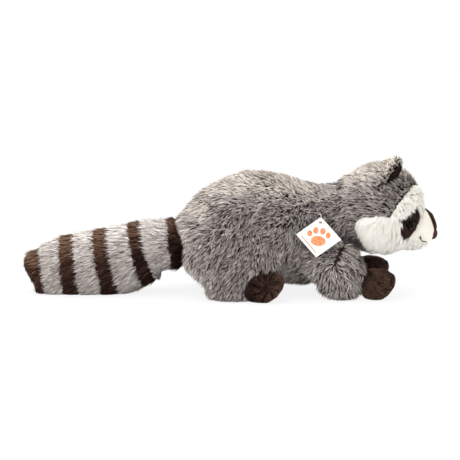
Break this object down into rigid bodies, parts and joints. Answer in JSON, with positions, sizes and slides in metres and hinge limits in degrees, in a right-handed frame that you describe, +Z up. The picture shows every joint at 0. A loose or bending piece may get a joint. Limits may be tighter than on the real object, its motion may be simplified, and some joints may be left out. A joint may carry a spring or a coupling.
{
  "type": "plush raccoon",
  "caption": "Stuffed raccoon toy lying flat on its belly, with a masked face, short round ears, velour paws, a banded bushy tail and a square hang tag at the shoulder.",
  "frame": {"origin": "middle of the toy's box on the floor it lies on", "axes": "+X from the tail tip toward the nose, +Y to the toy's left side, +Z up from the floor"},
  "size_m": [0.4144, 0.1332, 0.1408],
  "materials": {
    "grey_plush": "long pile, grey with pale tips",
    "paw_velour": "short dark brown pile",
    "white_plush": "long creamy white pile",
    "mask_plush": "dark brown pile",
    "eye_bead": "polished black",
    "cream_velour": "short cream pile",
    "stripe_velour": "short dark brown pile",
    "nose_velour": "satin weave, dark red brown",
    "ear_plush": "pile with pale tips",
    "ear_velour": "short dark brown pile",
    "dark_ring_plush": "long dark brown pile",
    "pale_ring_plush": "long beige grey pile",
    "tag_card": "smooth white",
    "loop_thread": "thin pale yellow thread"
  },
  "bodies": {
    "root": {"body": "grey_plush", "hind_leg_right": "grey_plush", "hind_leg_left": "grey_plush", "front_leg_right": "grey_plush", "front_leg_left": "grey_plush", "head": "grey_plush", "hind_paw_right": "paw_velour", "hind_paw_left": "paw_velour", "front_paw_right": "paw_velour", "front_paw_left": "paw_velour", "brow_right": "white_plush", "brow_left": "white_plush", "cheek_right": "white_plush", "cheek_left": "white_plush", "chin": "white_plush", "eye_mask_right": "mask_plush", "eye_mask_left": "mask_plush", "eye_right": "eye_bead", "eye_left": "eye_bead", "muzzle": "cream_velour", "muzzle_stripe": "stripe_velour", "nose": "nose_velour", "ear_right": "ear_plush", "ear_left": "ear_plush", "ear_lining_right": "ear_velour", "ear_lining_left": "ear_velour", "tail_ring_1": "dark_ring_plush", "tail_ring_2": "pale_ring_plush", "tail_ring_3": "dark_ring_plush", "tail_ring_4": "pale_ring_plush", "tail_ring_5": "dark_ring_plush", "tail_ring_6": "pale_ring_plush", "tail_ring_7": "dark_ring_plush", "tail_ring_8": "pale_ring_plush", "tail_tip": "dark_ring_plush", "hang_tag": "tag_card", "tag_loop": "loop_thread"}
  },
  "joints": []
}
